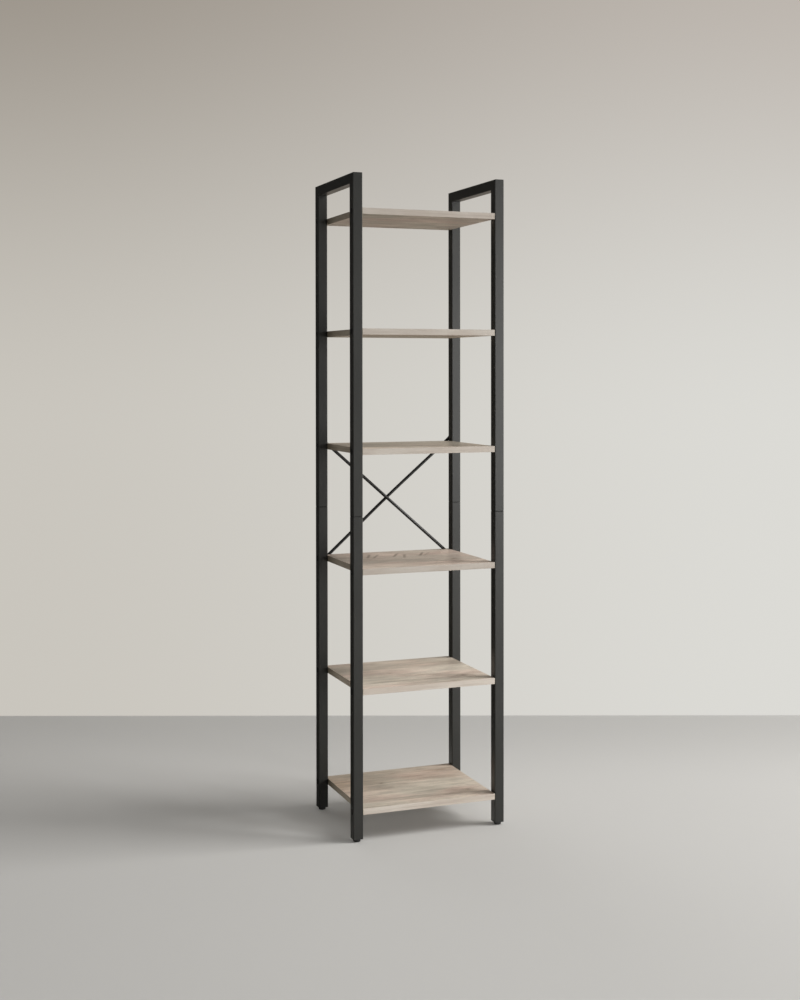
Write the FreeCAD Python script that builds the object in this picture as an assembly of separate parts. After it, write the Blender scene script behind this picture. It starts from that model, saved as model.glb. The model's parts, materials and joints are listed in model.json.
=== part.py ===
import FreeCAD, Part
import math
import os

# Industrial bookcase, in millimetres. Two side frames of square steel tube hold six boards between them,
# with a crossed rod brace behind one bay and a screw foot under each post.
# +Z is up, +X is to the right and the front faces -Y. The origin is on the floor, in the middle of the
# object's box.

# Overall sizes
WIDTH = 400.0
DEPTH = 300.0
SHELF_COUNT = 6
SHELF_PITCH = 291.0
BOTTOM_SHELF_TOP = 80.5
FRAME_RISE = 84.5

# Square tube of the side frames
TUBE = 25.0
TUBE_WALL = 1.2
TUBE_CORNER = 2.0
TUBE_END_CHAMFER = 0.4

# Split of the posts, above the shelf under the middle bay
SEAM_RISE = 127.0
COUPLER_LENGTH = 100.0
COUPLER_WALL = 2.0
COUPLER_GAP = 0.15
COLLAR_HEIGHT = 1.0
COLLAR_SEAT = 0.3

# Boards and their edge bands
BOARD_THICKNESS = 15.0
BOARD_INSET = 0.5
BAND_THICKNESS = 0.8
BAND_ROUND = 0.3

# Shelf bolts inside the posts, the insert nuts that they screw into, and the caps on the key holes
BOLT_DIAMETER = 6.0
BOLT_HOLE_GAP = 0.25
BOLT_HEAD_DIAMETER = 10.5
BOLT_HEAD_HEIGHT = 3.3
BOLT_HEAD_ROUND = 1.2
BOLT_SOCKET_FLATS = 4.0
BOLT_SOCKET_FLOOR = 1.2
CAP_DIAMETER = 14.4
CAP_FLANGE = 0.6
CAP_ROUND = 0.3
CAP_PLUG_DIAMETER = 12.0
CAP_PLUG_LENGTH = 4.0
CAP_PLUG_WALL = 1.2
CAP_GAP = 0.1
INSERT_LENGTH = 13.0
INSERT_WALL = 1.5
INSERT_DRILL_SPARE = 3.0
THREAD_GAP = 0.1
PRESS_GAP = 0.1

# Crossed brace behind the middle bay, with its ends past the shelves' edges
BRACE_LOWER_DROP = 22.0
BRACE_UPPER_RISE = 15.5
ROD_DIAMETER = 8.0
ROD_FLAT_WIDTH = 12.0
ROD_FLAT_LENGTH = 15.0
ROD_TAPER_LENGTH = 7.0
ROD_CROSS_GAP = 0.1
SCREW_DIAMETER = 4.8
SCREW_HOLE_GAP = 0.1
SCREW_REACH = 7.5
SCREW_HEAD_DIAMETER = 9.0
SCREW_HEAD_HEIGHT = 2.4
SCREW_SLOT_WIDTH = 1.1
SCREW_SLOT_LENGTH = 4.6
SCREW_SLOT_DEPTH = 1.3
RIVET_DIAMETER = 2.5
RIVET_HEAD_DIAMETER = 6.0
RIVET_HEAD_HEIGHT = 1.6
RIVET_SEAT = 1.2

# Feet
FOOT_HEIGHT = 7.2
PAD_DIAMETER = 18.0
PAD_ROUND = 1.6
PAD_TOP_CHAMFER = 1.0
PAD_FLOOR = 2.0
PAD_GAP = 0.3
SWIVEL_GAP = 0.1
SWIVEL_DISC_DIAMETER = 10.0
SWIVEL_DISC_HEIGHT = 2.2
SWIVEL_NECK_DIAMETER = 4.5
STUD_DIAMETER = 6.0
STUD_RISE = 30.0
STUD_END_CHAMFER = 0.8
PLUG_FLANGE = 2.0
PLUG_DEPTH = 22.0
PLUG_GAP = 0.15
PLUG_BORE_GAP = 0.4
NUT_FLATS = 10.0
NUT_HEIGHT = 5.0
NUT_GAP = 0.1

# Places that follow from the sizes
HALF_TUBE = TUBE / 2
HALF_ROD = ROD_DIAMETER / 2
TUBE_BORE = TUBE - 2 * TUBE_WALL
ROD_BOW = ROD_DIAMETER + ROD_CROSS_GAP
REAR_PROUD = ROD_BOW + ROD_DIAMETER + max(RIVET_HEAD_HEIGHT - RIVET_SEAT, 0)
FRONT_FACE = -(DEPTH + REAR_PROUD) / 2
REAR_FACE = FRONT_FACE + DEPTH
OUTER_FACE = WIDTH / 2
INNER_FACE = OUTER_FACE - TUBE
POST_X = {"left": -OUTER_FACE + HALF_TUBE, "right": OUTER_FACE - HALF_TUBE}
POST_Y = {"front": FRONT_FACE + HALF_TUBE, "rear": REAR_FACE - HALF_TUBE}
OUTWARD = {"left": -1, "right": 1}
SHELF_TOPS = [BOTTOM_SHELF_TOP + SHELF_PITCH * i for i in range(SHELF_COUNT)]
BOLT_HEIGHTS = [top - BOARD_THICKNESS / 2 for top in SHELF_TOPS]
FRAME_TOP = SHELF_TOPS[-1] + FRAME_RISE
MIDDLE_SHELF = SHELF_COUNT // 2 - 1
POST_BOTTOM = FOOT_HEIGHT + PLUG_FLANGE
SEAM = SHELF_TOPS[MIDDLE_SHELF] + SEAM_RISE
LOWER_POST_TOP = SEAM - COLLAR_HEIGHT / 2
UPPER_POST_BOTTOM = SEAM + COLLAR_HEIGHT / 2
BRACE_LOW = SHELF_TOPS[MIDDLE_SHELF] - BRACE_LOWER_DROP
BRACE_HIGH = SHELF_TOPS[MIDDLE_SHELF + 1] + BRACE_UPPER_RISE
INSERT_DIAMETER = BOLT_DIAMETER + 2 * THREAD_GAP + 2 * INSERT_WALL
COLLAR_SIZE = TUBE_BORE + 2 * COLLAR_SEAT

X_AXIS = FreeCAD.Vector(1, 0, 0)
Y_AXIS = FreeCAD.Vector(0, 1, 0)
Z_AXIS = FreeCAD.Vector(0, 0, 1)


def at(x, y, z):
    return FreeCAD.Vector(x, y, z)


def box(low, high):
    """Box between two corners."""
    return Part.makeBox(high.x - low.x, high.y - low.y, high.z - low.z, low)


def rod(diameter, length, base, axis):
    """Round bar from a base point along an axis."""
    return Part.makeCylinder(diameter / 2, length, base, axis)


def square_bar(size, corner, length):
    """Square bar along +Z, centred on the axis, with its long edges rounded."""
    half = size / 2
    bar = box(at(-half, -half, 0), at(half, half, length))
    if corner <= 0:
        return bar
    upright = [edge for edge in bar.Edges if abs(edge.tangentAt(edge.FirstParameter).z) > math.sqrt(0.5)]
    return bar.makeFillet(corner, upright)


def square_tube(size, wall, corner, length):
    """Hollow square tube along +Z, centred on the axis."""
    return square_bar(size, corner, length).cut(square_bar(size - 2 * wall, corner - wall, length))


def hex_bar(flats, length, base, axis):
    """Hexagonal bar from a base point along an axis, sized over its flats."""
    radius = flats / math.sqrt(3)
    turns = [math.radians(60 * i) for i in range(7)]
    outline = Part.makePolygon([at(radius * math.cos(a), radius * math.sin(a), 0) for a in turns])
    bar = Part.Face(outline).extrude(Z_AXIS * length)
    bar.Placement = FreeCAD.Placement(base, FreeCAD.Rotation(Z_AXIS, axis))
    return bar


def outer_end_edges(tube, height):
    """Edges of a tube's outer outline at one end, which lie further out than its bore."""
    reach = TUBE_BORE / 2 + TUBE_WALL / 2
    found = []
    for edge in tube.Edges:
        limits = edge.BoundBox
        level = max(abs(limits.ZMin - height), abs(limits.ZMax - height)) < TUBE_WALL / 10
        middle = limits.Center
        if level and max(abs(middle.x), abs(middle.y)) > reach:
            found.append(edge)
    return found


def eased_tube(length, eased_height):
    """Post tube with the outer edge of one end chamfered."""
    tube = square_tube(TUBE, TUBE_WALL, TUBE_CORNER, length)
    return tube.makeChamfer(min(TUBE_END_CHAMFER, TUBE_WALL / 2), outer_end_edges(tube, eased_height))


def mitre_cutter(x, y_outer, inward, for_post):
    """Prism on one side of the 45 degree plane through a frame's top corner."""
    outer = y_outer - inward * TUBE
    inner = y_outer + inward * 2 * TUBE
    high = FRAME_TOP + TUBE
    low = FRAME_TOP - 2 * TUBE
    third = (inner, high) if for_post else (outer, low)
    corners = [(outer, high), (inner, low), third, (outer, high)]
    outline = Part.makePolygon([at(x - TUBE, y, z) for y, z in corners])
    return Part.Face(outline).extrude(X_AXIS * 2 * TUBE)


def post_holes(side, row):
    """Drillings of one post line: bolt holes inside, key holes outside, and screw holes at the rear."""
    x, y = POST_X[side], POST_Y[row]
    way_out = X_AXIS * OUTWARD[side]
    across = BOLT_DIAMETER + 2 * BOLT_HOLE_GAP
    holes = [rod(across, TUBE, at(x, y, z), way_out * -1) for z in BOLT_HEIGHTS]
    across = CAP_PLUG_DIAMETER + 2 * CAP_GAP
    holes += [rod(across, TUBE, at(x, y, z), way_out) for z in BOLT_HEIGHTS]
    if row == "rear":
        across = SCREW_DIAMETER + 2 * SCREW_HOLE_GAP
        holes += [rod(across, HALF_TUBE + TUBE, at(x, y, z), Y_AXIS) for z in (BRACE_LOW, BRACE_HIGH)]
    return holes


def upper_post(side, row):
    """Post above the seam, mitred at the top."""
    x, y = POST_X[side], POST_Y[row]
    post = eased_tube(FRAME_TOP - UPPER_POST_BOTTOM, 0)
    post.translate(at(x, y, UPPER_POST_BOTTOM))
    y_outer, inward = (FRONT_FACE, 1) if row == "front" else (REAR_FACE, -1)
    return post.cut([mitre_cutter(x, y_outer, inward, True)] + post_holes(side, row))


def lower_post(side, row):
    """Post below the seam, square at both ends."""
    length = LOWER_POST_TOP - POST_BOTTOM
    post = eased_tube(length, length)
    post.translate(at(POST_X[side], POST_Y[row], POST_BOTTOM))
    return post.cut(post_holes(side, row))


def top_rail(side):
    """Tube along Y that joins the two upper posts, mitred at both ends."""
    x = POST_X[side]
    rail = square_tube(TUBE, TUBE_WALL, TUBE_CORNER, DEPTH)
    front_end = at(x, FRONT_FACE, FRAME_TOP - HALF_TUBE)
    rail.Placement = FreeCAD.Placement(front_end, FreeCAD.Rotation(Z_AXIS, Y_AXIS))
    return rail.cut([mitre_cutter(x, FRONT_FACE, 1, False), mitre_cutter(x, REAR_FACE, -1, False)])


def post_coupler(side, row):
    """Hollow spigot in both halves of a post, with a thin collar between them."""
    spigot = TUBE_BORE - 2 * COUPLER_GAP
    corner = TUBE_CORNER - TUBE_WALL
    bar = square_bar(spigot, corner, COUPLER_LENGTH)
    collar = square_bar(COLLAR_SIZE, corner + COLLAR_SEAT, COLLAR_HEIGHT)
    collar.translate(at(0, 0, (COUPLER_LENGTH - COLLAR_HEIGHT) / 2))
    bore = square_bar(spigot - 2 * COUPLER_WALL, corner, COUPLER_LENGTH)
    coupler = bar.fuse(collar).cut(bore)
    coupler.translate(at(POST_X[side], POST_Y[row], SEAM - COUPLER_LENGTH / 2))
    return coupler


def shelf_drillings(bolt_height):
    """Blind holes for the insert nuts in both ends of a board."""
    across = INSERT_DIAMETER + 2 * PRESS_GAP
    depth = INSERT_LENGTH + INSERT_DRILL_SPARE
    return [rod(across, depth, at(outward * INNER_FACE, y, bolt_height), X_AXIS * -outward)
            for outward in OUTWARD.values() for y in POST_Y.values()]


def shelf_board(top):
    """Board core, inside its edge bands."""
    front, rear = FRONT_FACE + BOARD_INSET, REAR_FACE - BOARD_INSET
    low = at(-INNER_FACE + BAND_THICKNESS, front + BAND_THICKNESS, top - BOARD_THICKNESS)
    high = at(INNER_FACE - BAND_THICKNESS, rear - BAND_THICKNESS, top)
    return box(low, high).cut(shelf_drillings(top - BOARD_THICKNESS / 2))


def edge_bands(top):
    """Four strips round a board: the long ones run to the corners, the end ones fit between them."""
    front, rear = FRONT_FACE + BOARD_INSET, REAR_FACE - BOARD_INSET
    bottom = top - BOARD_THICKNESS
    bands = []
    for y, face in ((front, front), (rear - BAND_THICKNESS, rear)):
        band = box(at(-INNER_FACE, y, bottom), at(INNER_FACE, y + BAND_THICKNESS, top))
        outer = [edge for edge in band.Edges
                 if abs(edge.BoundBox.YMin - face) + abs(edge.BoundBox.YMax - face) < BAND_THICKNESS
                 and edge.Length > BOARD_THICKNESS]
        bands.append(band.makeFillet(min(BAND_ROUND, BAND_THICKNESS / 2), outer))
    for x in (-INNER_FACE, INNER_FACE - BAND_THICKNESS):
        bands.append(box(at(x, front + BAND_THICKNESS, bottom),
                         at(x + BAND_THICKNESS, rear - BAND_THICKNESS, top)))
    holes = shelf_drillings(top - BOARD_THICKNESS / 2)
    return Part.makeCompound([band.cut(holes).Solids[0] for band in bands])


def eased_disc(diameter, height, ease, base, outward):
    """Disc along X from a base point outwards, with its outer rim rounded."""
    disc = rod(diameter, height, base, X_AXIS * outward)
    rim_x = base.x + outward * height
    rim = [edge for edge in disc.Edges
           if abs(edge.BoundBox.XMin - rim_x) + abs(edge.BoundBox.XMax - rim_x) < height / 2]
    return disc.makeFillet(min(ease, height / 2), rim)


def shelf_bolt(outward, y, z):
    """Bolt along X inside a post, its head against the inner wall and a hex socket in it for a key."""
    seat = at(outward * (INNER_FACE + TUBE_WALL), y, z)
    shank = rod(BOLT_DIAMETER, TUBE_WALL + INSERT_LENGTH, seat, X_AXIS * -outward)
    head = eased_disc(BOLT_HEAD_DIAMETER, BOLT_HEAD_HEIGHT, BOLT_HEAD_ROUND, seat, outward)
    way_out = X_AXIS * outward
    socket = hex_bar(BOLT_SOCKET_FLATS, BOLT_HEAD_HEIGHT, seat + way_out * BOLT_SOCKET_FLOOR, way_out)
    return shank.fuse(head).cut(socket).removeSplitter()


def bolt_cap(outward, y, z):
    """Low round cap on a post's outer face, with a hollow plug in the key hole."""
    face = at(outward * OUTER_FACE, y, z)
    way_in = X_AXIS * -outward
    flange = eased_disc(CAP_DIAMETER, CAP_FLANGE, CAP_ROUND, face, outward)
    plug = rod(CAP_PLUG_DIAMETER, CAP_PLUG_LENGTH, face, way_in)
    bore = CAP_PLUG_DIAMETER - 2 * CAP_PLUG_WALL
    hollow = rod(bore, CAP_PLUG_LENGTH, face + way_in * CAP_PLUG_WALL, way_in)
    return flange.fuse(plug).cut(hollow).removeSplitter()


def insert_nut(outward, y, z):
    """Threaded sleeve in a board's end, flush with it."""
    mouth = at(outward * INNER_FACE, y, z)
    way_in = X_AXIS * -outward
    sleeve = rod(INSERT_DIAMETER, INSERT_LENGTH, mouth, way_in)
    return sleeve.cut(rod(BOLT_DIAMETER + 2 * THREAD_GAP, INSERT_LENGTH, mouth, way_in))


def at_each_bolt(make, side):
    """One solid for each shelf bolt place on one side."""
    return Part.makeCompound([make(OUTWARD[side], y, z) for y in POST_Y.values() for z in BOLT_HEIGHTS])


def round_section(along):
    """Circle of the rod across its run, split like a slot so that the two can be joined."""
    diagonal = HALF_ROD * math.sqrt(0.5)
    spots = [(diagonal, diagonal), (0, HALF_ROD), (-diagonal, diagonal), (-HALF_ROD, 0),
             (-diagonal, -diagonal), (0, -HALF_ROD), (diagonal, -diagonal), (HALF_ROD, 0)]
    points = [at(along, across, height) for across, height in spots]
    arcs = [Part.Arc(points[i], points[i + 1], points[(i + 2) % 8]).toShape() for i in (0, 2, 4, 6)]
    return Part.Wire(arcs)


def flat_section(along):
    """Slot-shaped section of the pressed end, half as thick as the rod, on the post's side of it."""
    quarter = HALF_ROD / 2
    half = ROD_FLAT_WIDTH / 2 - quarter
    top_right, top_left = at(along, half, 0), at(along, -half, 0)
    low_left, low_right = at(along, -half, -HALF_ROD), at(along, half, -HALF_ROD)
    far_left = at(along, -half - quarter, -quarter)
    far_right = at(along, half + quarter, -quarter)
    return Part.Wire([Part.makeLine(top_right, top_left),
                      Part.Arc(top_left, far_left, low_left).toShape(),
                      Part.makeLine(low_left, low_right),
                      Part.Arc(low_right, far_right, top_right).toShape()])


def pressed_end(length, sign):
    """Flat rounded eye and the taper to the round rod, at one end of a rod that lies along X."""
    centre = sign * length / 2
    inner = centre - sign * ROD_FLAT_LENGTH / 2
    taper = Part.makeLoft([round_section(inner - sign * ROD_TAPER_LENGTH), flat_section(inner)], True, True)
    eye = rod(ROD_FLAT_WIDTH, HALF_ROD, at(centre, 0, -HALF_ROD), Z_AXIS)
    low, high = sorted((inner, centre))
    neck = Part.Face(flat_section(low)).extrude(X_AXIS * (high - low))
    drilling = rod(SCREW_DIAMETER + 2 * SCREW_HOLE_GAP, ROD_DIAMETER, at(centre, 0, -ROD_DIAMETER), Z_AXIS)
    return taper.fuse([neck, eye]).cut(drilling)


def bowed_bar(length):
    """Round bar along X that stands back by the bow in its middle, as a rod held at both ends does: each
    half follows a cubic curve that is level at both of its ends."""
    half, third, sixth = length / 2, length / 3, length / 6
    halves = [(at(-half, 0, 0), at(-third, 0, 0), at(-sixth, 0, ROD_BOW), at(0, 0, ROD_BOW)),
              (at(0, 0, ROD_BOW), at(sixth, 0, ROD_BOW), at(third, 0, 0), at(half, 0, 0))]
    curves = []
    for poles in halves:
        curve = Part.BezierCurve()
        curve.setPoles(poles)
        curves.append(curve.toShape())
    return Part.Wire(curves).makePipeShell([round_section(-half)], True, False)


def brace_rod(rising):
    """Round rod with pressed ends. The falling rod is straight, and the rising one bows behind it."""
    run = POST_X["right"] - POST_X["left"]
    climb = BRACE_HIGH - BRACE_LOW
    length = math.hypot(run, climb)
    straight = length - ROD_FLAT_LENGTH - 2 * ROD_TAPER_LENGTH
    if rising:
        bar = bowed_bar(straight)
        seat, outward = at(0, 0, ROD_BOW + HALF_ROD - RIVET_SEAT), Z_AXIS
    else:
        bar = rod(ROD_DIAMETER, straight, at(-straight / 2, 0, 0), X_AXIS)
        seat, outward = at(0, 0, -HALF_ROD + RIVET_SEAT), Z_AXIS * -1
    bar = bar.fuse([pressed_end(length, -1), pressed_end(length, 1)])
    rivet_hole = rod(RIVET_DIAMETER, 2 * ROD_DIAMETER, seat + outward * ROD_DIAMETER, outward * -1)
    spot_face = rod(RIVET_HEAD_DIAMETER + 2 * SCREW_HOLE_GAP, ROD_DIAMETER, seat, outward)
    bar = bar.cut([rivet_hole, spot_face]).removeSplitter()
    slope = math.degrees(math.atan2(climb, run)) * (1 if rising else -1)
    lie_back = FreeCAD.Rotation(X_AXIS, -90)
    tilt = FreeCAD.Rotation(Y_AXIS, -slope)
    centre = at(0, REAR_FACE + HALF_ROD, (BRACE_LOW + BRACE_HIGH) / 2)
    bar.Placement = FreeCAD.Placement(centre, tilt.multiply(lie_back))
    return bar


def brace_screw(x, z):
    """Round-headed screw along Y through a pressed rod end into a rear post, with a cross slot."""
    seat = at(x, REAR_FACE + HALF_ROD, z)
    shank = rod(SCREW_DIAMETER, HALF_ROD + SCREW_REACH, seat, Y_AXIS * -1)
    head = Part.makeCone(SCREW_HEAD_DIAMETER / 2, SCREW_HEAD_DIAMETER / 2 - SCREW_HEAD_HEIGHT / 2,
                         SCREW_HEAD_HEIGHT, seat, Y_AXIS)
    crown = seat.y + SCREW_HEAD_HEIGHT
    half_long, half_wide = SCREW_SLOT_LENGTH / 2, SCREW_SLOT_WIDTH / 2
    slots = [box(at(x - dx, crown - SCREW_SLOT_DEPTH, z - dz), at(x + dx, crown, z + dz))
             for dx, dz in ((half_long, half_wide), (half_wide, half_long))]
    return shank.fuse(head).cut(slots).removeSplitter()


def brace_screws():
    """The four end screws of the brace."""
    return Part.makeCompound([brace_screw(x, z) for x in POST_X.values() for z in (BRACE_LOW, BRACE_HIGH)])


def brace_rivet():
    """Rivet through both rods where they cross, with a low crown seated in each."""
    z = (BRACE_LOW + BRACE_HIGH) / 2
    front_seat = at(0, REAR_FACE + RIVET_SEAT, z)
    rear_seat = at(0, REAR_FACE + ROD_BOW + ROD_DIAMETER - RIVET_SEAT, z)
    shank = rod(RIVET_DIAMETER - 2 * SCREW_HOLE_GAP, rear_seat.y - front_seat.y, front_seat, Y_AXIS)
    wide, narrow = RIVET_HEAD_DIAMETER / 2, RIVET_HEAD_DIAMETER / 2 - RIVET_HEAD_HEIGHT
    front = Part.makeCone(wide, narrow, RIVET_HEAD_HEIGHT, front_seat, Y_AXIS * -1)
    rear = Part.makeCone(wide, narrow, RIVET_HEAD_HEIGHT, rear_seat, Y_AXIS)
    return shank.fuse([front, rear]).removeSplitter()


def foot_plug(side, row):
    """Plug in a post's bottom end, with a flange under the tube and a hex pocket for the nut."""
    flange = square_bar(TUBE, TUBE_CORNER, PLUG_FLANGE)
    body = square_bar(TUBE_BORE - 2 * PLUG_GAP, TUBE_CORNER - TUBE_WALL, PLUG_FLANGE + PLUG_DEPTH)
    bore = rod(STUD_DIAMETER + 2 * PLUG_BORE_GAP, PLUG_FLANGE + PLUG_DEPTH, at(0, 0, 0), Z_AXIS)
    pocket = hex_bar(NUT_FLATS + 2 * NUT_GAP, NUT_HEIGHT + NUT_GAP, at(0, 0, 0), Z_AXIS)
    plug = flange.fuse(body).cut([bore, pocket]).removeSplitter()
    plug.translate(at(POST_X[side], POST_Y[row], FOOT_HEIGHT))
    return plug


def foot_nut(side, row):
    """Hex nut in a foot plug, level with the plug's underside."""
    base = at(POST_X[side], POST_Y[row], FOOT_HEIGHT)
    nut = hex_bar(NUT_FLATS, NUT_HEIGHT, base, Z_AXIS)
    return nut.cut(rod(STUD_DIAMETER + 2 * THREAD_GAP, NUT_HEIGHT, base, Z_AXIS))


def foot_nuts():
    """The four plug nuts."""
    return Part.makeCompound([foot_nut(side, row) for side in POST_X for row in POST_Y])


def foot_stud(side, row):
    """Threaded stud with a disc at its foot, which turns in the pad."""
    disc_low = PAD_FLOOR + SWIVEL_GAP
    disc_top = disc_low + SWIVEL_DISC_HEIGHT
    disc = rod(SWIVEL_DISC_DIAMETER, SWIVEL_DISC_HEIGHT, at(0, 0, disc_low), Z_AXIS)
    neck = rod(SWIVEL_NECK_DIAMETER, FOOT_HEIGHT - disc_top, at(0, 0, disc_top), Z_AXIS)
    thread = rod(STUD_DIAMETER, STUD_RISE - STUD_END_CHAMFER, at(0, 0, FOOT_HEIGHT), Z_AXIS)
    tip_base = at(0, 0, FOOT_HEIGHT + STUD_RISE - STUD_END_CHAMFER)
    tip_radius = STUD_DIAMETER / 2 - STUD_END_CHAMFER
    tip = Part.makeCone(STUD_DIAMETER / 2, tip_radius, STUD_END_CHAMFER, tip_base, Z_AXIS)
    stud = disc.fuse([neck, thread, tip]).removeSplitter()
    stud.translate(at(POST_X[side], POST_Y[row], 0))
    return stud


def foot_pad(side, row):
    """Round pad on the floor: a turned outline with a rounded foot, hollowed for the stud's disc."""
    radius, top = PAD_DIAMETER / 2, FOOT_HEIGHT - PAD_GAP
    ease = PAD_ROUND * (1 - math.sqrt(0.5))
    foot_edge, side_low = at(radius - PAD_ROUND, 0, 0), at(radius, 0, PAD_ROUND)
    side_high, top_edge = at(radius, 0, top - PAD_TOP_CHAMFER), at(radius - PAD_TOP_CHAMFER, 0, top)
    axis_low, axis_high = at(0, 0, 0), at(0, 0, top)
    outline = Part.Wire([Part.makeLine(axis_low, foot_edge),
                         Part.Arc(foot_edge, at(radius - ease, 0, ease), side_low).toShape(),
                         Part.makeLine(side_low, side_high), Part.makeLine(side_high, top_edge),
                         Part.makeLine(top_edge, axis_high), Part.makeLine(axis_high, axis_low)])
    body = Part.Face(outline).revolve(axis_low, Z_AXIS, 360)
    floor = at(0, 0, PAD_FLOOR)
    room_height = SWIVEL_DISC_HEIGHT + 2 * SWIVEL_GAP
    room = rod(SWIVEL_DISC_DIAMETER + 2 * SWIVEL_GAP, room_height, floor, Z_AXIS)
    mouth = rod(SWIVEL_NECK_DIAMETER + 2 * SWIVEL_GAP, FOOT_HEIGHT, floor, Z_AXIS)
    pad = body.cut([room, mouth])
    pad.translate(at(POST_X[side], POST_Y[row], 0))
    return pad


def nodes():
    """Every piece by its name."""
    pieces = {}
    for side in POST_X:
        for row in POST_Y:
            pieces[f"{side}_upper_{row}_post"] = upper_post(side, row)
            pieces[f"{side}_lower_{row}_post"] = lower_post(side, row)
            pieces[f"{side}_{row}_post_coupler"] = post_coupler(side, row)
            pieces[f"{side}_{row}_foot_plug"] = foot_plug(side, row)
            pieces[f"{side}_{row}_foot_stud"] = foot_stud(side, row)
            pieces[f"{side}_{row}_foot_pad"] = foot_pad(side, row)
        pieces[f"{side}_top_rail"] = top_rail(side)
        pieces[f"{side}_shelf_bolts"] = at_each_bolt(shelf_bolt, side)
        pieces[f"{side}_bolt_caps"] = at_each_bolt(bolt_cap, side)
        pieces[f"{side}_shelf_insert_nuts"] = at_each_bolt(insert_nut, side)
    for number, top in enumerate(SHELF_TOPS, 1):
        pieces[f"shelf_{number}_board"] = shelf_board(top)
        pieces[f"shelf_{number}_edge_bands"] = edge_bands(top)
    pieces["rising_brace_rod"] = brace_rod(True)
    pieces["falling_brace_rod"] = brace_rod(False)
    pieces["brace_end_screws"] = brace_screws()
    pieces["brace_cross_rivet"] = brace_rivet()
    pieces["foot_nuts"] = foot_nuts()
    return pieces


os.makedirs("parts", exist_ok=True)
for name, shape in nodes().items():
    shape.exportStep(os.path.join("parts", name + ".step"))
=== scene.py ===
import json
import math

import bpy
import numpy as np
from mathutils import Matrix, Vector


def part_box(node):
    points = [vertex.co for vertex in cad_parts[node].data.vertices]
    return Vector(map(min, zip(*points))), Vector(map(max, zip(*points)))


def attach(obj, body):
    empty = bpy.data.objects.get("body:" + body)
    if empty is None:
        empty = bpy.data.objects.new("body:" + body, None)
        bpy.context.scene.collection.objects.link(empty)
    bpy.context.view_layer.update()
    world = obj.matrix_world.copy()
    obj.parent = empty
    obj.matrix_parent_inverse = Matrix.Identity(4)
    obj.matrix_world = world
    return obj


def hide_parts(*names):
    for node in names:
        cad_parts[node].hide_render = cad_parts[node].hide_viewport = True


# Industrial bookcase, in metres: powder coated tube frames, greige oak boards with edge bands, a rod brace
# and screw feet. The places and sizes of posts and boards are read from the solids.

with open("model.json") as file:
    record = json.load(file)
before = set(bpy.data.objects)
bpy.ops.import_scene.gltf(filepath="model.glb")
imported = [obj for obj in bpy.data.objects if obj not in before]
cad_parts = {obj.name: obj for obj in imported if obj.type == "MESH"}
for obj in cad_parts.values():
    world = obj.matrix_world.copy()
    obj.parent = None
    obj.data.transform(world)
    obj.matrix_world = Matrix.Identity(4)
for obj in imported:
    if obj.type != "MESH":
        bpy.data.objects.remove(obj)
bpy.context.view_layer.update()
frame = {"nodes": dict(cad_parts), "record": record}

MM = 0.001
SHELVES = range(1, 7)
CORNERS = [(side, row) for side in ("left", "right") for row in ("front", "rear")]
post_low, post_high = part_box("right_lower_front_post")
board_low, board_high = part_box("shelf_1_board")
POST_X = (post_low.x + post_high.x) / 2
HALF_TUBE = (post_high.x - post_low.x) / 2
FRONT_FACE_Y = post_low.y
REAR_FACE_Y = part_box("right_lower_rear_post")[1].y
POST_MID_Y = (FRONT_FACE_Y + REAR_FACE_Y) / 2
POST_OFF_Y = (REAR_FACE_Y - FRONT_FACE_Y) / 2 - HALF_TUBE
FRAME_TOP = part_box("right_top_rail")[1].z
SHELF_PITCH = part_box("shelf_2_board")[1].z - board_high.z
BOARD_MID_Z = (board_low.z + board_high.z) / 2
BOARD_END_X = board_high.x
BOARD_FRONT_Y = board_low.y


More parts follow.
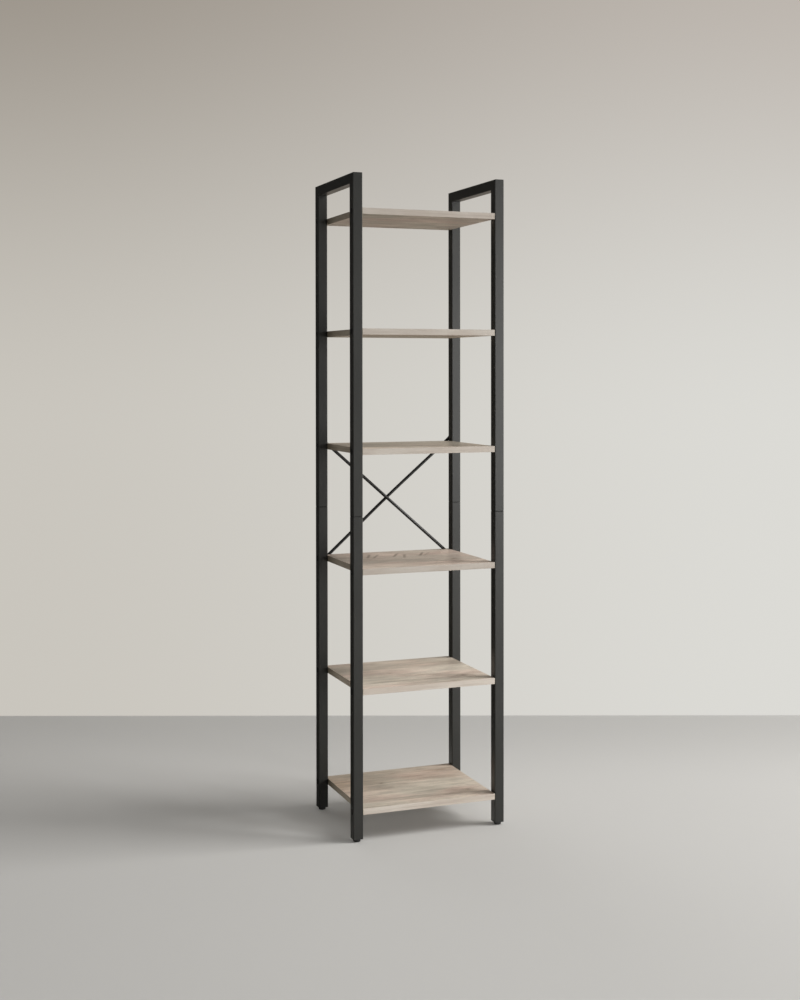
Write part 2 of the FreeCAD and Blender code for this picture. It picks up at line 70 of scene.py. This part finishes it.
class Shade:
    """One output socket of a material's nodes. Arithmetic on it adds Math nodes."""

    def __init__(self, tree, socket=None):
        self.tree = tree
        self.socket = socket

    def node(self, kind, settings=None, sockets=None, out=0):
        """Adds a node: its settings first, then a value or a link for each socket by name or number."""
        made = self.tree.nodes.new("ShaderNode" + kind)
        for name, value in (settings or {}).items():
            setattr(made, name, value)
        for name, value in (sockets or {}).items():
            if isinstance(value, Shade):
                self.tree.links.new(value.socket, made.inputs[name])
            else:
                made.inputs[name].default_value = value
        return Shade(self.tree, made.outputs[out] if made.outputs else None)

    def also(self, out):
        """Another output of the same node."""
        return Shade(self.tree, self.socket.node.outputs[out])

    def parts(self):
        """The X, Y and Z parts of this vector."""
        x = self.node("SeparateXYZ", {}, {0: self})
        return x, x.also("Y"), x.also("Z")

    def math(self, operation, *others):
        """This value and others through one Math node."""
        return self.node("Math", {"operation": operation}, dict(enumerate((self,) + others)))

    def __add__(self, other):
        return self.math("ADD", other)

    def __sub__(self, other):
        return self.math("SUBTRACT", other)

    def __rsub__(self, other):
        return self.node("Math", {"operation": "SUBTRACT"}, {0: other, 1: self})

    def __mul__(self, other):
        return self.math("MULTIPLY", other)

    def __truediv__(self, other):
        return self.math("DIVIDE", other)

    def __pow__(self, other):
        return self.math("POWER", other)

    def __abs__(self):
        return self.math("ABSOLUTE")

    __radd__ = __add__

    def rise(self, low, high):
        """Smooth step: 0 below low, 1 above high, or the other way round where low is the larger."""
        ends = {"From Min": min(low, high), "From Max": max(low, high),
                "To Min": float(low > high), "To Max": float(low < high)}
        return self.node("MapRange", {"interpolation_type": "SMOOTHSTEP"}, {"Value": self, **ends})

    def fall(self):
        """Bell curve of a squared distance: 1 at 0, and near 0 from 4 on."""
        return (self * -1.0).math("EXPONENT")

    def noise(self, waves, seed, detail, roughness=0.5):
        """Noise from 0 to 1 of this vector: its waves a metre along each axis, a seed that moves it, how many
        finer layers it has and how strong they are."""
        moved = self.node("VectorMath", {"operation": "MULTIPLY_ADD"},
                          {0: self, 1: waves, 2: (seed, seed, seed)})
        shape = {"Scale": 1.0, "Detail": detail, "Roughness": roughness}
        return self.node("TexNoise", {}, {"Vector": moved, **shape})

    def mix(self, first, second, kind="MIX"):
        """Two colours mixed by this value."""
        return self.node("Mix", {"data_type": "RGBA", "blend_type": kind}, {0: self, 6: first, 7: second}, 2)

    def scaled(self, factor):
        """This colour times a factor."""
        return self.node("VectorMath", {"operation": "SCALE"}, {0: self, "Scale": factor})

    def bump(self, height, distance):
        """Normal of a surface raised by a height from 0 to 1 times a distance."""
        return self.node("Bump", {}, {"Strength": 1.0, "Distance": distance, "Height": height})


def srgb(red, green, blue):
    """Linear colour of an sRGB one given from 0 to 255."""
    parts = np.array([red, green, blue]) / 255
    linear = np.where(parts > 0.04045, ((parts + 0.055) / 1.055) ** 2.4, parts / 12.92)
    return (*linear.tolist(), 1.0)


def toned(colour, share):
    """A colour's red, green and blue times a share, one for all three or one for each."""
    return (*(np.array(colour[:3]) * share).tolist(), 1.0)


def begin(name):
    """A new material and its place vector, in metres."""
    made = bpy.data.materials.new(name)
    made.use_nodes = True
    made.node_tree.nodes.clear()
    return made, Shade(made.node_tree).node("TexCoord", out="Object")


def surface(place, **sockets):
    """Closes a material with a Principled shader."""
    named = {name.replace("_", " "): value for name, value in sockets.items()}
    shader = place.node("BsdfPrincipled", {}, named)
    place.node("OutputMaterial", {}, {"Surface": shader})


def across_tube(x, y):
    """Distances from a post's two middle planes, in metres."""
    return abs(abs(x) - POST_X), abs(abs(y - POST_MID_Y) - POST_OFF_Y)


def oval(x, y, half_length, half_width):
    """Squared distance from the middle of an oval along X, which is 1 on its outline."""
    return (x / half_length) ** 2.0 + (y / half_width) ** 2.0


def powder_coat(name, tone, gloss):
    """Matte powder coat on square tube: fine orange peel, soft changes of sheen, and mitre lines where a top
    rail meets its posts. It is rubbed at the corners, where both distances from the middle planes are
    large."""
    made, place = begin(name)
    x, y, z = place.parts()
    mitre_width = 0.9 * MM
    u, v = across_tube(x, y)
    above_rail_low = z - (FRAME_TOP - 2 * HALF_TUBE)
    beside_post = v.rise(HALF_TUBE - 0.1 * MM, HALF_TUBE + 0.3 * MM)
    in_rail = above_rail_low.rise(-0.5 * MM, 0.5 * MM) * beside_post
    from_rail_middle = abs(FRAME_TOP - HALF_TUBE - z)
    corner = u.math("MINIMUM", v + (from_rail_middle - v) * in_rail)
    peel = place.noise((850, 850, 850), 3.1, 1.0)
    sand = place.noise((3600, 3600, 3600), 7.7, 0.0)
    drift = place.noise((9, 9, 5), 1.3, 3.0)
    handled = place.noise((60, 60, 14), 5.2, 4.0, 0.65)
    rubbed = corner.rise(HALF_TUBE - 1.5 * MM, HALF_TUBE - 0.2 * MM) * handled.rise(0.42, 0.68)
    streak = place.noise((520, 520, 16), 9.4, 2.0).rise(0.70, 0.80) * handled.rise(0.5, 0.7)
    tint = drift * 0.5 + sand * 0.5
    colour = tint.rise(0.3, 0.7).mix(toned(tone, 0.86), toned(tone, 1.14))
    colour = (rubbed * 0.34 + streak * 0.10).mix(colour, srgb(104, 103, 100))
    depth = (y - FRONT_FACE_Y).math("MINIMUM", REAR_FACE_Y - y)
    mitre = abs(depth - (FRAME_TOP - z)).rise(mitre_width, 0.0)
    height = peel * 0.55 + sand * 0.2 - mitre * 0.6 + drift * 0.4
    rough = gloss + drift * 0.08 + peel * 0.05 - rubbed * 0.06
    surface(place, Base_Color=colour, Roughness=rough, Normal=place.bump(height, 0.02 * MM),
            Specular_IOR_Level=0.3)
    return made


def rod_coat():
    """Satin black coat on the round rods, darker than the tubes, with a little dust in its pores."""
    made, place = begin("satin_rod_coat")
    peel = place.noise((1100, 1100, 1100), 2.2, 1.0)
    drift = place.noise((16, 16, 16), 4.0, 3.0)
    dust = place.noise((240, 240, 240), 8.8, 3.0, 0.6).rise(0.56, 0.78)
    colour = drift.mix(srgb(17, 17, 16), srgb(25, 25, 24))
    colour = (dust * 0.06).mix(colour, srgb(120, 117, 110))
    rough = 0.36 + drift * 0.08 + dust * 0.10
    surface(place, Base_Color=colour, Roughness=rough, Normal=place.bump(peel, 0.01 * MM),
            Specular_IOR_Level=0.5)
    return made


def black_oxide():
    """Blackened bolts, screws and the rivet: oily black, with bright steel in scuffs. On a shelf bolt's head
    they keep to its rim and to the edge of its key socket."""
    made, place = begin("black_oxide")
    x, y, z = place.parts()
    beside = across_tube(x, y)[1]
    shelf = (z - BOARD_MID_Z) / SHELF_PITCH
    lift = (shelf - shelf.math("ROUND")) * SHELF_PITCH
    out = (beside * beside + lift * lift) ** 0.5
    head_rim = out.rise(5.2 * MM, 5.9 * MM)
    socket_rim = out.rise(2.0 * MM, 2.25 * MM) * out.rise(2.9 * MM, 2.4 * MM)
    scuff = place.noise((900, 900, 900), 1.7, 3.0, 0.6)
    worn = (head_rim + socket_rim).math("MINIMUM", 1.0) * scuff.rise(0.40, 0.66) * 0.55
    colour = worn.mix(scuff.mix(srgb(30, 30, 31), srgb(44, 43, 43)), srgb(128, 126, 122))
    rough = 0.34 + scuff * 0.18 - worn * 0.08
    surface(place, Base_Color=colour, Roughness=rough, Metallic=0.25 + worn * 0.7,
            Normal=place.bump(scuff, 0.02 * MM), Specular_IOR_Level=0.5)
    return made


def zinc_plate():
    """Bright zinc on studs, nuts and inserts: cloudy, with fine turning marks round the upright axis."""
    made, place = begin("zinc_plate")
    cloud = place.noise((420, 420, 420), 6.1, 4.0, 0.6)
    turned = place.noise((40, 40, 9000), 2.9, 1.0)
    colour = cloud.mix(srgb(168, 169, 168), srgb(212, 212, 208))
    rough = 0.26 + cloud * 0.20 + turned * 0.06
    surface(place, Base_Color=colour, Roughness=rough, Metallic=1.0, Normal=place.bump(turned, 0.01 * MM))
    return made


def moulded_plastic(name, tone, sheen, scuff_height):
    """Black moulded plastic with a spark eroded grain, and grey scuffs below a height."""
    made, place = begin(name)
    z = place.parts()[2]
    grain = place.noise((2400, 2400, 2400), 5.5, 2.0, 0.6)
    cloud = place.noise((130, 130, 130), 3.6, 3.0)
    scuffed = z.rise(scuff_height, scuff_height * 0.3) * cloud.rise(0.45, 0.7)
    colour = cloud.mix(tone, toned(tone, 1.5))
    colour = (scuffed * 0.3).mix(colour, srgb(120, 118, 112))
    rough = 0.46 + grain * 0.16 + scuffed * 0.1
    surface(place, Base_Color=colour, Roughness=rough, Normal=place.bump(grain, 0.03 * MM),
            Specular_IOR_Level=sheen)
    return made


def oak_laminate(shelf, tone, planks, knots, checks, painted_light_patches):
    """Greige oak print on a board, grain along X. Each plank is cut from a slightly coned trunk, so its year
    rings run as sqrt(v squared + h squared) plus a share of x: arches in the middle and straight lines at the
    sides. Each plank has its own tone, with pores, fibres, blotches, flecks, streaks and knots over it, and
    slanting checks on the upper face. The underside has its own stretch of the print and less gloss."""
    made, place = begin(f"oak_laminate_{shelf}")
    x, y, z = place.parts()
    seed = 3.71 * shelf
    joint, heart, ring_width = 1.2 * MM, 36 * MM, 7.5 * MM
    check_reach, check_edge, check_core, check_waver = 42 * MM, 6.0 * MM, 1.5 * MM, 6 * MM
    depth = y - BOARD_FRONT_Y
    upper = (z - (BOARD_MID_Z + (shelf - 1) * SHELF_PITCH)).rise(-5 * MM, 5 * MM)
    tones, warmth, number, start = planks[0][1], planks[0][2], 0.0, 0.0
    for (edge, tone_before, warmth_before), (_, tone_after, warmth_after) in zip(planks, planks[1:]):
        past = depth.rise(edge * MM - joint, edge * MM + joint)
        step = past.math("ROUND")
        tones = tones + past * (tone_after - tone_before)
        warmth = warmth + past * (warmth_after - warmth_before)
        number = number + step
        start = start + step * (edge * MM)
    # Painted light: each spot lightens and warms the print, as a pool of light would
    for patch_x, patch_y, size, lighter, warmer in painted_light_patches:
        near = oval(x - patch_x, y - patch_y, 0.7 * size, size).fall()
        tones = tones + near * lighter
        warmth = warmth + near * warmer
    chance = place.node("TexWhiteNoise", {"noise_dimensions": "1D"}, {"W": number + seed}, "Color")
    chances = place.node("SeparateColor", {}, {0: chance})
    heart_chance, cone_chance = chances.also("Green"), chances.also("Blue")
    heart_depth = 10 * MM + heart_chance * 16 * MM
    cone = (cone_chance - 0.5) * 12
    layer = number * 0.37 + (1 - upper) * 2.0
    lane = place.node("CombineXYZ", {}, {"X": x, "Y": y, "Z": layer})
    meander = lane.noise((3.0, 2.0, 1.0), seed, 2.0)
    ripple = lane.noise((16, 70, 1.0), seed + 2, 3.0, 0.55)
    bent = depth - start - heart + (meander - 0.5) * 0.03
    for knot_x, knot_y, size in knots:
        near = oval(x - knot_x, y - knot_y, 2.6 * size, size).fall()
        bent = bent + near * (y - knot_y) * 1.4
    dome = (bent * bent + heart_depth * heart_depth) ** 0.5
    rings = dome / ring_width + x * cone + ripple * 1.2
    ring = rings - rings.math("FLOOR")
    line = ring.rise(0.45, 0.97) * ring.rise(1.0, 0.985)
    fibre = lane.noise((11, 620, 1.0), seed + 4, 3.0, 0.6)
    pore = lane.noise((75, 2500, 1.0), seed + 6, 1.0).rise(0.60, 0.72) * (0.3 + line * 0.7)
    wash = lane.noise((5, 13, 1.0), seed + 8, 3.0, 0.6)
    streak = lane.noise((5.0, 50, 1.0), seed + 10, 4.0, 0.6).rise(0.56, 0.72)
    cloud = lane.noise((5.0, 8.0, 1.0), seed + 12, 2.0)
    blotch = lane.noise((11, 44, 1.0), seed + 14, 4.0, 0.66)
    fleck = lane.noise((34, 230, 1.0), seed + 16, 2.0).rise(0.62, 0.74)
    pink, pale, grey, dark, brown = (toned(srgb(*parts), tone) for parts in (
        (194, 173, 155), (209, 195, 175), (187, 178, 159), (134, 113, 94), (158, 128, 98)))
    colour = wash.rise(0.34, 0.66).mix(pink, pale)
    colour = (cloud.rise(0.40, 0.62) * 0.85).mix(colour, grey)
    colour = (line * 0.30 + heart_chance * 0.12).mix(colour, dark)
    colour = (streak * 0.50).mix(colour, dark)
    colour = warmth.mix(colour, brown)
    mottle = (0.80 + blotch.rise(0.28, 0.72) * 0.38) * (0.92 + fibre.rise(0.3, 0.7) * 0.16)
    colour = colour.scaled(tones * mottle)
    for knot_x, knot_y, size in knots:
        out = oval(x - knot_x, y - knot_y, 1.7 * size, size) ** 0.5 + (ripple - 0.5) * 0.9
        colour = (out.rise(0.62, 0.12) * 0.75).mix(colour, srgb(88, 70, 54))
        colour = (out.rise(1.6, 0.5) * 0.30).mix(colour, srgb(122, 100, 80))
    for check_x, check_y, lean, strength in checks:
        along = y - check_y
        beside = x - check_x - along * lean - (ripple - 0.5) * check_waver
        cut = abs(beside).rise(check_edge, check_core) * abs(along / check_reach).rise(1.0, 0.4)
        colour = (cut * upper * strength).mix(colour, srgb(76, 64, 52))
    colour = (fleck * blotch.rise(0.62, 0.40) * 0.55).mix(colour, srgb(112, 94, 76))
    colour = (pore * 0.45).mix(colour, srgb(96, 80, 65))
    height = 0.6 + fibre * 0.12 - pore * 0.5 - line * 0.12
    rough = 0.50 - upper * 0.16 + pore * 0.2 + wash * 0.08 + streak * 0.05
    surface(place, Base_Color=colour, Roughness=rough, Normal=place.bump(height, 0.05 * MM),
            Specular_IOR_Level=0.20)
    return made


def edge_band(shelf, tone):
    """Pale wood print on a board's edges: straight fibres along the edge, and on the ends painted warm bounce
    light and a painted shade that deepens toward the rear."""
    made, place = begin(f"edge_band_{shelf}")
    x, y, z = place.parts()
    seed = 5.3 * shelf
    painted_warm_bounce = (1.03, 1.0, 0.91, 1.0)
    on_end = abs(x).rise(BOARD_END_X - 0.05 * MM, BOARD_END_X + 0.05 * MM)
    along = x + (y - x) * on_end
    lane = place.node("CombineXYZ", {}, {"X": along, "Y": z, "Z": on_end * 3.0})
    fibre = lane.noise((10, 900, 1.0), seed, 3.0, 0.6)
    band = lane.noise((6, 160, 1.0), seed + 3, 3.0, 0.55)
    cloud = lane.noise((9, 40, 1.0), seed + 5, 2.0)
    pore = lane.noise((80, 2600, 1.0), seed + 7, 1.0).rise(0.63, 0.74)
    pale, warm, dark = (toned(srgb(*parts), tone) for parts in (
        (212, 203, 192), (201, 189, 177), (152, 136, 121)))
    colour = cloud.rise(0.3, 0.7).mix(warm, pale)
    colour = (band.rise(0.5, 0.78) * 0.4).mix(colour, dark)
    colour = (fibre.rise(0.5, 0.8) * 0.22 + pore * 0.25).mix(colour, dark)
    # Painted shade: the ends grow darker toward the rear
    colour = (on_end * y.rise(0.02, 0.11) * 0.55).mix(colour, srgb(112, 101, 86))
    # Painted warm bounce light tints the ends warmer
    colour = on_end.mix(colour, painted_warm_bounce, "MULTIPLY")
    rough = 0.46 + fibre * 0.1 + pore * 0.1
    height = fibre * 0.4 - pore * 0.5
    surface(place, Base_Color=colour, Roughness=rough, Normal=place.bump(height, 0.05 * MM),
            Specular_IOR_Level=0.4)
    return made


def sheet_mesh(name, points, material, closed=False):
    """Mesh object of a grid of points (rows, columns, 3), with quads between neighbours and, where the grid
    is closed, between the last column and the first."""
    rows, columns = points.shape[:2]
    row, column = np.meshgrid(np.arange(rows - 1), np.arange(columns - (not closed)), indexing="ij")
    beside = (column + 1) % columns
    quads = np.stack([row * columns + column, row * columns + beside,
                      (row + 1) * columns + beside, (row + 1) * columns + column], -1)
    mesh = bpy.data.meshes.new(name)
    mesh.from_pydata(points.reshape(-1, 3).tolist(), [], quads.reshape(-1, 4).tolist())
    mesh.polygons.foreach_set("use_smooth", np.ones(len(mesh.polygons), bool))
    mesh.materials.append(material)
    made = bpy.data.objects.new(name, mesh)
    bpy.context.scene.collection.objects.link(made)
    return made


def foot_screw(side, row, material):
    """Threaded stud of a foot, turned about its upright axis. The outline is a list of (radius, height):
    disc, neck, thread and tip. On the thread the radius is the crest less a triangle wave of
    height / pitch - angle / turn, and it narrows toward the tip."""
    node = f"{side}_{row}_foot_stud"
    low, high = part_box(node)
    middle = (low + high) / 2
    crest, depth, pitch, tip_drop, tip_flat = 3.0 * MM, 0.55 * MM, 1.0 * MM, 0.9 * MM, 0.05 * MM
    disc, neck, bevel = 5.0 * MM, 2.25 * MM, 0.3 * MM
    disc_top, thread_low = low.z + 2.2 * MM, low.z + 5.1 * MM
    rows_a_turn, columns = 8, 40
    heights = np.arange(thread_low, high.z - tip_flat, pitch / rows_a_turn)
    foot = np.array([(0, low.z), (disc - bevel, low.z), (disc, low.z + bevel), (disc, disc_top - bevel),
                     (disc - bevel, disc_top), (neck, disc_top), (neck, thread_low)])
    radius = np.concatenate([foot[:, 0], np.full(len(heights), crest), [0.0]])[:, None]
    height = np.concatenate([foot[:, 1], heights, [high.z]])[:, None]
    threaded = np.zeros_like(radius)
    threaded[len(foot):-1] = 1
    angle = np.linspace(0, 2 * math.pi, columns, endpoint=False)
    wave = np.abs(2 * np.mod(height / pitch - angle / (2 * math.pi), 1) - 1)
    taper = np.clip(high.z - height + crest - tip_drop, 0, None)
    reach = np.where(threaded > 0, np.minimum(radius - depth * wave, taper), radius)
    points = np.stack([middle.x + reach * np.cos(angle), middle.y + reach * np.sin(angle),
                       np.broadcast_to(height, reach.shape)], -1)
    made = sheet_mesh(f"{side}_{row}_foot_screw", points, material, closed=True)
    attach(made, f"{side}_{row}_stud")
    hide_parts(node)


# The studio: the camera's bearing, what the lamps aim at, the backdrop's distance and the bend at its foot,
# the air's colour and light, how much the floor's shadow is lifted for the camera, and between which
# distances the paper fades into the air
VIEW_YAW = math.radians(20.892)
VIEW_AHEAD = (math.sin(VIEW_YAW), math.cos(VIEW_YAW), 0.0)
VIEW_RIGHT = (math.cos(VIEW_YAW), -math.sin(VIEW_YAW), 0.0)
MIDDLE = Vector((0.0, 0.0, 0.85))
WALL_START, WALL_BEND = 1.051, 0.004
STUDIO_AIR, AIR_LIGHT = srgb(178, 170, 161), (0.05, 0.05, 0.049, 1.0)
SHADOW_LIFT = 0.12
FADE = (2.0, 4.6)


def studio_paper():
    """Pale paper of the floor and backdrop: plain and matt, seen from its front side only. For the camera
    the backdrop glows, darker to the top and the left, the floor is shaded toward it, and both fade into
    the air far out. In mirror images the paper is dark at the left behind the bookcase, as if a flag stood
    there."""
    made, place = begin("studio_paper")
    x, y, z = place.parts()
    camera = place.node("LightPath", {}, {}, "Is Camera Ray")
    mirror = camera.also("Is Glossy Ray")
    to_right = (x * VIEW_RIGHT[0] + y * VIEW_RIGHT[1]).rise(-1.5, 1.5)
    to_wall = (x * VIEW_AHEAD[0] + y * VIEW_AHEAD[1]).rise(0.2, WALL_START)
    low_wall = to_right.mix(srgb(201, 197, 189), srgb(220, 219, 214))
    high_wall = to_right.mix(srgb(150, 142, 132), srgb(184, 176, 168))
    wall_seen = z.rise(0.9, 2.8).mix(low_wall, high_wall)
    floor_seen = to_wall.mix(srgb(190, 189, 187), srgb(173, 172, 170))
    flag, flag_black = x.rise(0.12, -0.12) * y.rise(-0.3, 0.3), srgb(58, 57, 54)
    # In mirror images the backdrop glows lighter in a band from 0.15 to 1.5 m up and the floor is paler:
    # painted reflections
    band = z.rise(0.15, 0.8) * z.rise(1.5, 1.0)
    wall_mirrored = flag.mix(band.mix(srgb(158, 150, 140), srgb(204, 192, 175)), flag_black)
    floor_mirrored = flag.mix(srgb(205, 203, 199), flag_black)
    floor = camera.mix(mirror.mix(srgb(184, 182, 179), floor_mirrored), floor_seen)
    far = ((x * x + y * y) ** 0.5).rise(*FADE) * camera
    wall = far.mix(camera.mix(wall_mirrored, wall_seen), STUDIO_AIR)
    upright = z.rise(0.0, WALL_BEND) * camera.math("MAXIMUM", mirror)
    glowing = upright.math("MAXIMUM", far).math("MAXIMUM", camera * SHADOW_LIFT)
    paper = place.node("BsdfDiffuse", {}, {"Color": floor})
    glow = place.node("Emission", {}, {"Color": wall, "Strength": 1.0})
    front = place.node("MixShader", {}, {0: glowing, 1: paper, 2: glow})
    gone = place.node("BsdfTransparent")
    behind = place.node("NewGeometry", out="Backfacing")
    shown = place.node("MixShader", {}, {0: behind, 1: front, 2: gone})
    place.node("OutputMaterial", {}, {"Surface": shown})
    made.cycles.emission_sampling = "NONE"
    return made


def studio_sweep(material):
    """Floor that bends up into a backdrop across the view: depth and height follow a straight run, a quarter
    circle and an upright run, carried sideways along a straight line, with a flat sheet just under the floor.
    Both lie under the foot pads and go down with the left front one, so that the bookcase stands on them when
    all four feet are screwed out."""
    near, top, half_width, half_floor, sheet_gap = -9.0, 5.0, 9.0, 12.0, 1.0 * MM
    turn = np.linspace(0, math.pi / 2, 25)
    depth = np.concatenate([[near], WALL_START + WALL_BEND * np.sin(turn), [WALL_START + WALL_BEND]])
    height = np.concatenate([[0.0], WALL_BEND * (1 - np.cos(turn)), [top]])
    side = np.array([-half_width, half_width])
    points = depth[:, None, None] * np.array(VIEW_AHEAD) + side[:, None] * np.array(VIEW_RIGHT)
    points[:, :, 2] += height[:, None]
    floor = sheet_mesh("studio_sweep", points, material)
    flat_x, flat_y = np.meshgrid([-half_floor, half_floor], [-half_floor, half_floor])
    flat = np.stack([flat_x, flat_y, np.full_like(flat_x, -sheet_gap)], -1)
    under = sheet_mesh("studio_floor", flat, material)
    floor.visible_shadow = False
    for paper in (floor, under):
        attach(paper, "left_front_pad")


def softbox(name, round_right, up, away_by, size, level, colour):
    """Area lamp aimed at the bookcase's middle, by its angle round to the right of the front, its angle up
    and its distance. It gives white paper facing it the stated level."""
    round_right, up = math.radians(round_right), math.radians(up)
    level_aim = Vector((math.sin(round_right), -math.cos(round_right), 0.0)) * math.cos(up)
    away = away_by * (level_aim + Vector((0.0, 0.0, math.sin(up))))
    lamp = bpy.data.lights.new(name, "AREA")
    lamp.shape = "RECTANGLE"
    lamp.size, lamp.size_y = size
    lamp.energy = level * math.pi ** 2 * away.length_squared
    lamp.color = colour
    made = bpy.data.objects.new(name, lamp)
    made.location = MIDDLE + away
    made.rotation_mode = "QUATERNION"
    made.rotation_quaternion = away.to_track_quat("Z", "Y")
    made.visible_camera = False
    bpy.context.scene.collection.objects.link(made)


def studio_camera(place, pitch, roll, focal, shift):
    """Camera along the view's bearing, nearly level, with a shifted lens. Focal length and shift are shares
    of the picture's height."""
    pitch, roll = math.radians(pitch), math.radians(roll)
    ahead = Vector(VIEW_AHEAD) * math.cos(pitch) + Vector((0.0, 0.0, math.sin(pitch)))
    right = Vector(VIEW_RIGHT)
    up = right.cross(ahead)
    turned_right = right * math.cos(roll) - up * math.sin(roll)
    turned_up = right * math.sin(roll) + up * math.cos(roll)
    data = bpy.data.cameras.new("studio_camera")
    data.lens = focal * data.sensor_width
    data.shift_y = shift
    made = bpy.data.objects.new("studio_camera", data)
    turn = Matrix((turned_right, turned_up, -ahead)).transposed()
    made.matrix_world = Matrix.Translation(place) @ turn.to_4x4()
    bpy.context.scene.collection.objects.link(made)
    bpy.context.scene.camera = made


# Knots of each shelf: place and size in metres
KNOTS = {
    1: [(0.128, -0.098, 0.010), (-0.060, 0.030, 0.006)],
    2: [(0.118, -0.094, 0.012), (-0.052, -0.014, 0.005)],
    3: [(0.104, -0.060, 0.010)],
    4: [(-0.090, -0.070, 0.006)],
    5: [(0.060, 0.040, 0.008)],
    6: [(-0.020, -0.090, 0.007), (0.120, 0.080, 0.006)],
}
# Slanting checks: place in metres, lean and strength
CHECKS = {
    3: [(-0.083, 0.061, 0.43, 0.75), (-0.067, 0.051, 0.55, 0.65), (-0.009, 0.060, 0.55, 0.75),
        (0.008, 0.038, 0.40, 0.65), (0.063, 0.060, 0.50, 0.75), (0.078, 0.058, 0.60, 0.35)],
}
# Broad spots of painted light: place and size in metres, how much lighter and how much warmer
PAINTED_LIGHT_PATCHES = {1: [(-0.18, 0.05, 0.105, 0.60, 0.34)]}
# Planks of each shelf from the front: millimetres from the front edge to its end, its tone and its warmth
PLANKS = {
    1: [(57, 1.05, 0.0), (130, 1.12, 0.0), (183, 1.08, 0.0), (300, 0.85, 0.18)],
    2: [(62, 1.07, 0.0), (128, 1.18, 0.0), (195, 1.15, 0.0), (300, 0.88, 0.10)],
    3: [(70, 1.22, 0.0), (140, 0.93, 0.0), (215, 0.90, 0.0), (300, 0.99, 0.0)],
    4: [(66, 1.20, 0.0), (150, 0.80, 0.0), (220, 0.80, 0.0), (300, 0.83, 0.0)],
    5: [(80, 1.00, 0.0), (155, 0.96, 0.0), (300, 1.02, 0.0)],
    6: [(72, 0.98, 0.0), (145, 1.03, 0.0), (225, 0.97, 0.0), (300, 1.00, 0.0)],
}
# Tone of each board's print in red, green and blue, and a painted shade on each board's bands, darker on the
# upper shelves
BOARD_TONES = {1: (1.02, 1.05, 1.13), 2: (1.03, 1.06, 1.15), 3: (0.88, 0.87, 0.95), 4: (0.76, 0.78, 0.82),
               5: (0.95, 0.96, 0.99), 6: (0.96, 1.0, 1.10)}
PAINTED_BAND_SHADE = {1: 1.02, 2: 1.00, 3: 0.78, 4: 0.82, 5: 0.75, 6: 0.71}

boards = {shelf: oak_laminate(shelf, BOARD_TONES[shelf], PLANKS[shelf], KNOTS[shelf], CHECKS.get(shelf, []),
                              PAINTED_LIGHT_PATCHES.get(shelf, []))
          for shelf in SHELVES}
# Each board's edge bands take their painted shade as their tone
bands = {shelf: edge_band(shelf, PAINTED_BAND_SHADE[shelf]) for shelf in SHELVES}
screw_zinc = zinc_plate()
finishes = {
    "frame_tube": powder_coat("charcoal_powder_coat", srgb(50, 50, 48), gloss=0.24),
    "brace_rod": rod_coat(),
    "black_fastener": black_oxide(),
    "zinc_steel": screw_zinc,
    "cap_plastic": moulded_plastic("cap_plastic", srgb(30, 30, 30), sheen=0.2, scuff_height=0.3),
    # The coupler's near-black tone is partly its own black plastic and partly painted shade in the seam's
    # groove
    "coupler_plastic": moulded_plastic("coupler_plastic", srgb(10, 10, 10), sheen=0.02, scuff_height=0.3),
    "foot_plastic": moulded_plastic("foot_plastic", srgb(26, 26, 26), sheen=0.45, scuff_height=5 * MM),
}

for part in frame["record"]["subparts"]:
    node, slot = part["node"], part["material_slot"]
    if slot == "shelf_board":
        finish = boards[int(node.split("_")[1])]
    elif slot == "edge_band":
        finish = bands[int(node.split("_")[1])]
    else:
        finish = finishes[slot]
    mesh = frame["nodes"][node].data
    mesh.materials.clear()
    mesh.materials.append(finish)

for side, row in CORNERS:
    foot_screw(side, row, screw_zinc)

studio_sweep(studio_paper())
studio_camera((-1.3196, -3.4086, 1.1386), pitch=-0.716, roll=0.0576, focal=1.4275, shift=-0.110)
# Lamps: degrees round to the right and up, distance and size in metres, level and colour
softbox("key_softbox", 67, 36, 8.0, (3.4, 4.7), 1.15, (1.0, 0.99, 0.97))
softbox("sheen_strip", 36.5, 2.0, 6.0, (1.0, 2.0), 0.42, (1.0, 1.0, 0.99))
softbox("left_fill", -105, 15, 6.0, (3.0, 3.0), 0.045, (1.0, 0.98, 0.95))
softbox("overhead", 20, 70, 5.0, (2.5, 2.5), 0.10, (1.0, 0.99, 0.98))
softbox("rear_fill", 188, 45, 6.0, (3.0, 3.0), 0.16, (1.0, 0.99, 0.98))

scene = bpy.context.scene
scene.world = bpy.data.worlds.new("studio_air")
scene.world.use_nodes = True
scene.world.node_tree.nodes.clear()
camera_ray = Shade(scene.world.node_tree).node("LightPath", {}, {}, "Is Camera Ray")
air = camera_ray.node("Background", {}, {"Color": camera_ray.mix(AIR_LIGHT, STUDIO_AIR), "Strength": 1.0})
camera_ray.node("OutputWorld", {}, {"Surface": air})
scene.view_settings.view_transform = "Standard"
